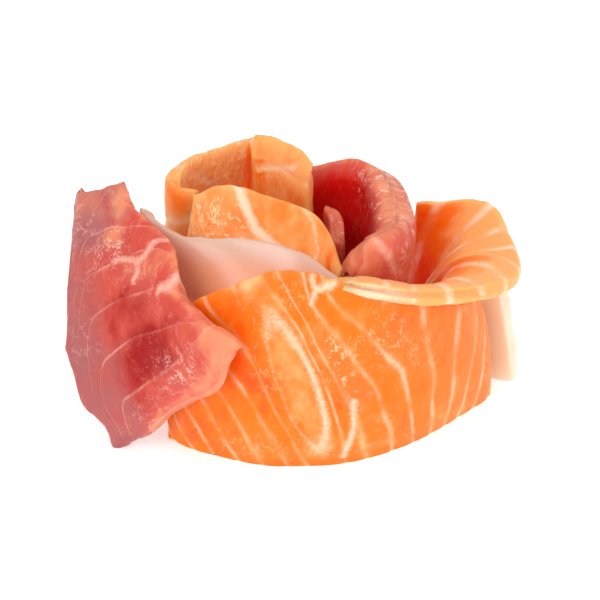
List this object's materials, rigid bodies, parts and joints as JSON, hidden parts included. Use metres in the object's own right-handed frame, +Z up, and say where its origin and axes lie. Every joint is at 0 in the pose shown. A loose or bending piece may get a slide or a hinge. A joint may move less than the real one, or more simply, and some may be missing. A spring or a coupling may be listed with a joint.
{
  "type": "sashimi arrangement",
  "caption": "Slices of raw salmon, tuna and white fish stood on edge and curled round each other into a rose, with a flared petal and a leaning slab.",
  "frame": {"origin": "middle of the bounding box's base, on the surface the slices stand on", "axes": "+Z up, +X along the longest side from the leaning tuna slab to the flared petal, -Y towards the long salmon slice at the front"},
  "size_m": [0.0918, 0.061, 0.0534],
  "materials": {
    "salmon_flesh": "wet, with pale fat lines",
    "tuna_flesh": "wet, with fine pale arcs",
    "white_flesh": "wet and translucent"
  },
  "bodies": {
    "root": {"salmon_wall": "salmon_flesh", "salmon_petal": "salmon_flesh", "salmon_curl_front": "salmon_flesh", "salmon_curl_back": "salmon_flesh", "salmon_curl_right": "salmon_flesh", "tuna_drape": "tuna_flesh", "tuna_roll": "tuna_flesh", "tuna_sliver": "tuna_flesh", "white_band": "white_flesh", "white_fold": "white_flesh"}
  },
  "joints": []
}
